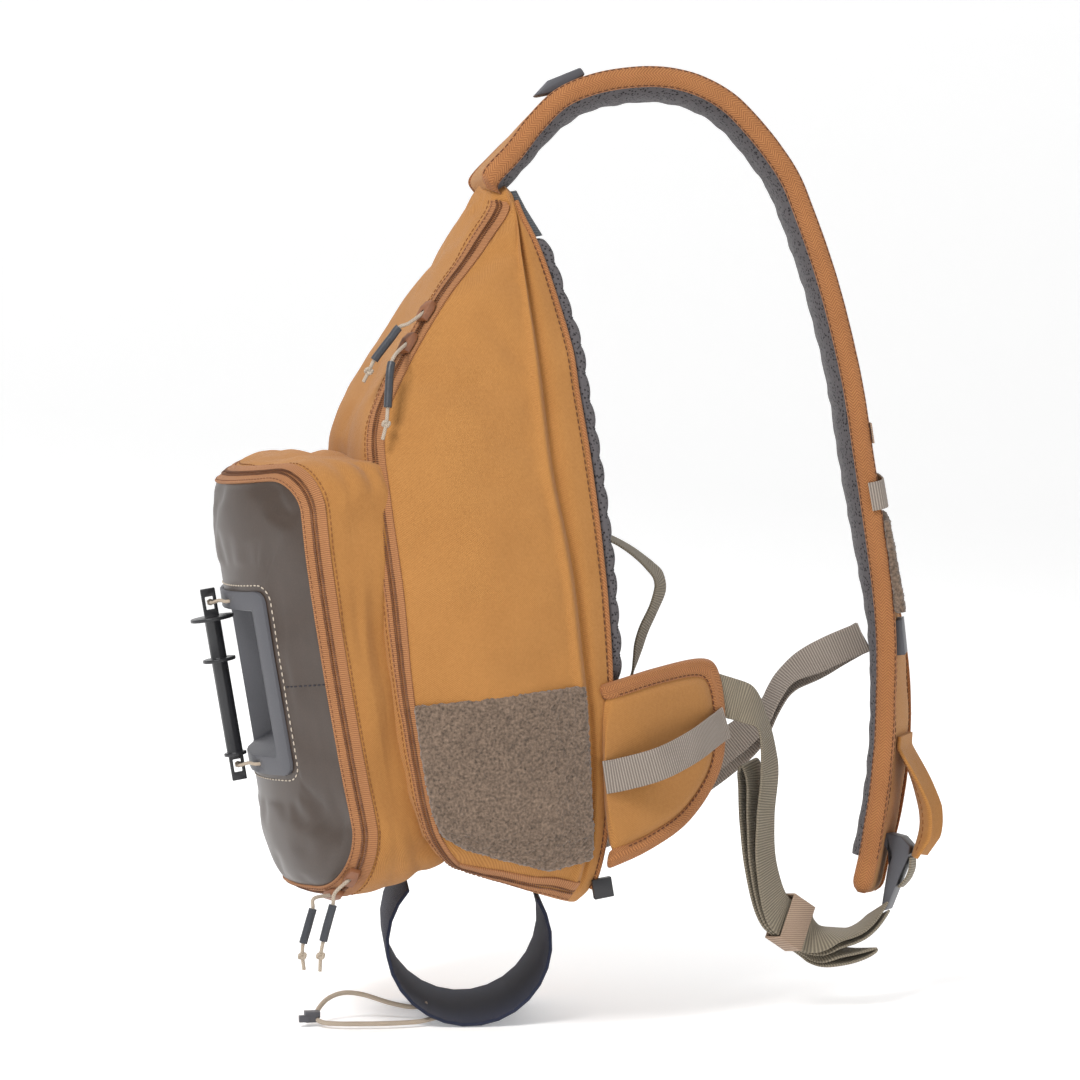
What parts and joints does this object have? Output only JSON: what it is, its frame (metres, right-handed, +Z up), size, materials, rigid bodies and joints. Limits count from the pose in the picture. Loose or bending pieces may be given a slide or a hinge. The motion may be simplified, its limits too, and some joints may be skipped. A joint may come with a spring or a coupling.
{
  "type": "sling bag",
  "caption": "Padded sling bag for fishing tackle with a domed front pocket, a slanting side zip, a broad shoulder strap, a waist wing and a bottle sling below.",
  "frame": {"origin": "under the top of the shoulder strap's arch, where the strap rests when the bag hangs", "axes": "+Z up, -X out of the bag's front, +X towards the wearer's back, -Y towards the zipped side"},
  "size_m": [0.4768, 0.2433, 0.5885],
  "materials": {
    "canvas": "matte woven canvas",
    "binding": "herringbone tape",
    "zip_tape": "zip tape with a coil",
    "slider": "painted",
    "spacer_mesh": "spacer mesh",
    "grey_fabric": "plain",
    "coated_fabric": "coated, satin",
    "slate_plastic": "moulded",
    "black_plastic": "moulded",
    "sleeve": "shrunk tube",
    "cord": "woven cord",
    "pile": "short pile",
    "olive_webbing": "ribbed webbing",
    "pale_webbing": "ribbed webbing",
    "navy_fabric": "plain"
  },
  "bodies": {
    "root": {"back_loop": "olive_webbing", "back_pad": "spacer_mesh", "bar_tie_lower": "cord", "bar_tie_upper": "cord", "bottle_holder": "navy_fabric", "buckle": "slate_plastic", "buckle_cover": "canvas", "buckle_wrap": "olive_webbing", "cord_hook": "slate_plastic", "cross_webbing_far": "pale_webbing", "cross_webbing_near": "pale_webbing", "foot_tab": "slate_plastic", "front_panel": "coated_fabric", "front_pocket": "canvas", "gear_loop": "pale_webbing", "main_lower_pull_cord": "cord", "main_lower_pull_sleeve": "sleeve", "main_lower_slider": "slider", "main_shell": "canvas", "main_upper_pull_cord": "cord", "main_upper_pull_sleeve": "sleeve", "main_upper_slider": "slider", "main_zip": "zip_tape", "pad_cap": "grey_fabric", "pile_patch": "pile", "pocket_near_pull_cord": "cord", "pocket_near_pull_sleeve": "sleeve", "pocket_near_slider": "slider", "pocket_side_pull_cord": "cord", "pocket_side_pull_sleeve": "sleeve", "pocket_side_slider": "slider", "pocket_zip": "zip_tape", "return_webbing": "olive_webbing", "shock_cord": "cord", "shoulder_strap": "canvas", "stowed_webbing": "olive_webbing", "strap_binding_far": "binding", "strap_binding_near": "binding", "strap_hook": "slate_plastic", "strap_label": "pale_webbing", "strap_loop": "pale_webbing", "strap_mesh": "spacer_mesh", "strap_pile": "pile", "strap_tab": "slate_plastic", "tail_webbing": "olive_webbing", "tippet_bar": "black_plastic", "tippet_plate": "slate_plastic", "waist_wing": "canvas", "web_keeper": "cord", "wing_binding": "binding", "wing_webbing": "olive_webbing"}
  },
  "joints": []
}
